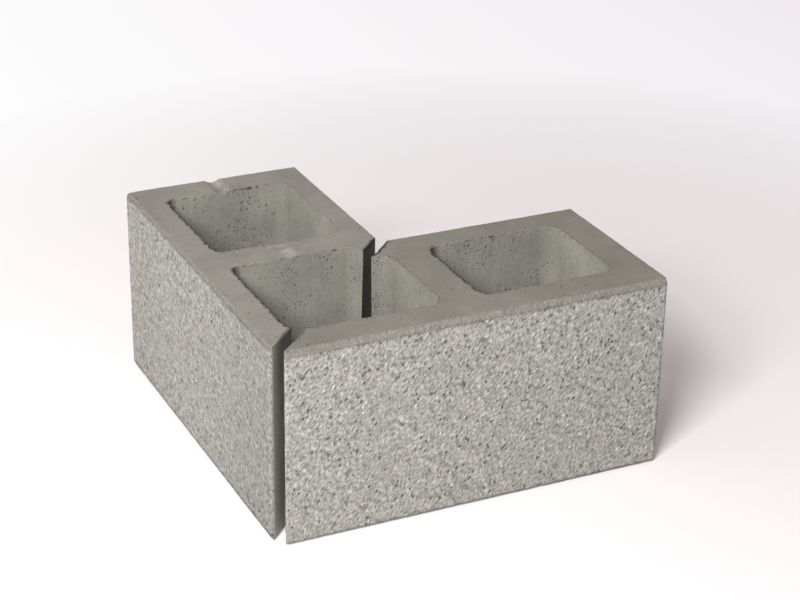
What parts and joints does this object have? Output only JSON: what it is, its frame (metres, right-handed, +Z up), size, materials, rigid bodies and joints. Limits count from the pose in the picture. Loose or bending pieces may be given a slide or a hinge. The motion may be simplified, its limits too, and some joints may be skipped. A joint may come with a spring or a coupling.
{
  "type": "mitred hollow concrete corner fence block",
  "caption": "Mitred hollow concrete blocks standing as a square corner, with textured outer faces between chamfered edges and tapered open cores.",
  "frame": {"origin": "on the ground, under the middle of the pair's plan box", "axes": "+Z up. The left block's outer face looks along -X and the right block's along -Y, and the mitre between them runs from the corner at -X -Y towards +X +Y."},
  "size_m": [0.4066, 0.41, 0.2],
  "materials": {
    "concrete": "grey cast concrete, blasted fine aggregate on the two outer faces, dry and matt"
  },
  "bodies": {
    "root": {"left_mitred_block": "concrete", "right_mitred_block": "concrete"}
  },
  "joints": []
}
